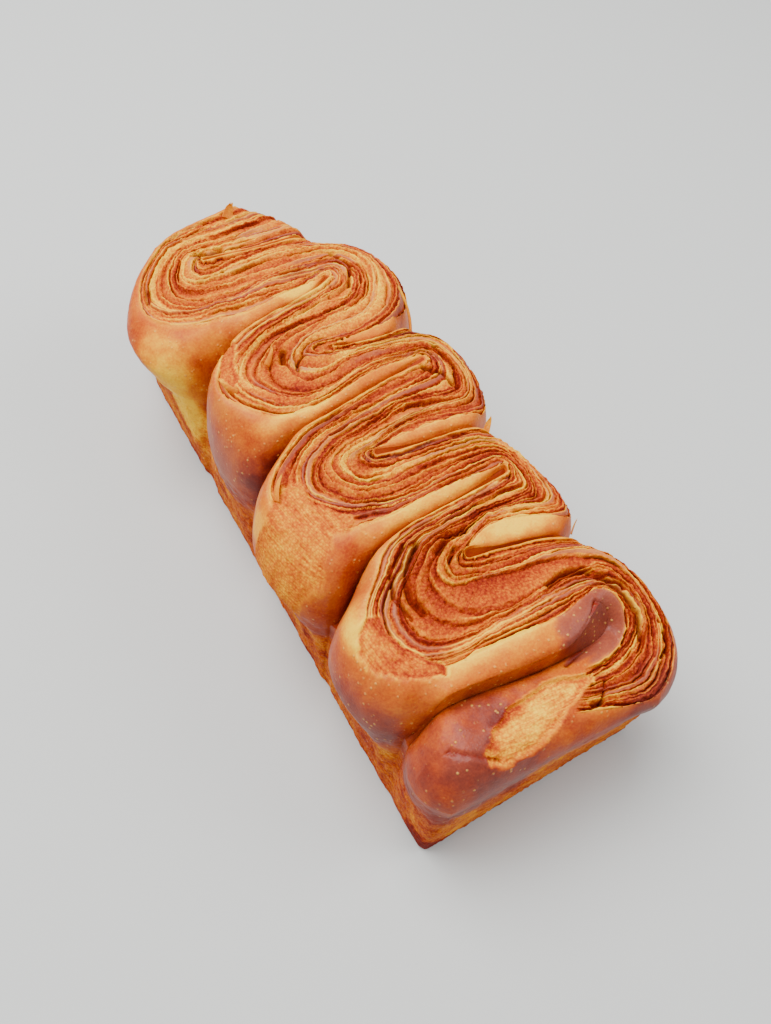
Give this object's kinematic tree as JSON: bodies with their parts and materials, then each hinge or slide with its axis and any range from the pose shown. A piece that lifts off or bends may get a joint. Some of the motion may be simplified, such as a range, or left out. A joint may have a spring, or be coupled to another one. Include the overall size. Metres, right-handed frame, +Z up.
{
  "type": "laminated brioche loaf",
  "caption": "Tin-baked loaf of laminated brioche: a ribbon of flaky layers folded to and fro along a flat-based block, swelling into rounded lobes down both sides.",
  "frame": {"origin": "centre of the loaf's bounding box seen from above, on the plane of its flat base", "axes": "+X across the loaf to the right seen from the near end, +Y along the loaf away from the near end, +Z up"},
  "size_m": [0.1112, 0.2544, 0.0782],
  "materials": {
    "baked_crust": "egg-washed baked crust, golden to reddish brown, dry and flaky on the cut layers"
  },
  "bodies": {
    "root": {"brioche_loaf": "baked_crust"}
  },
  "joints": []
}
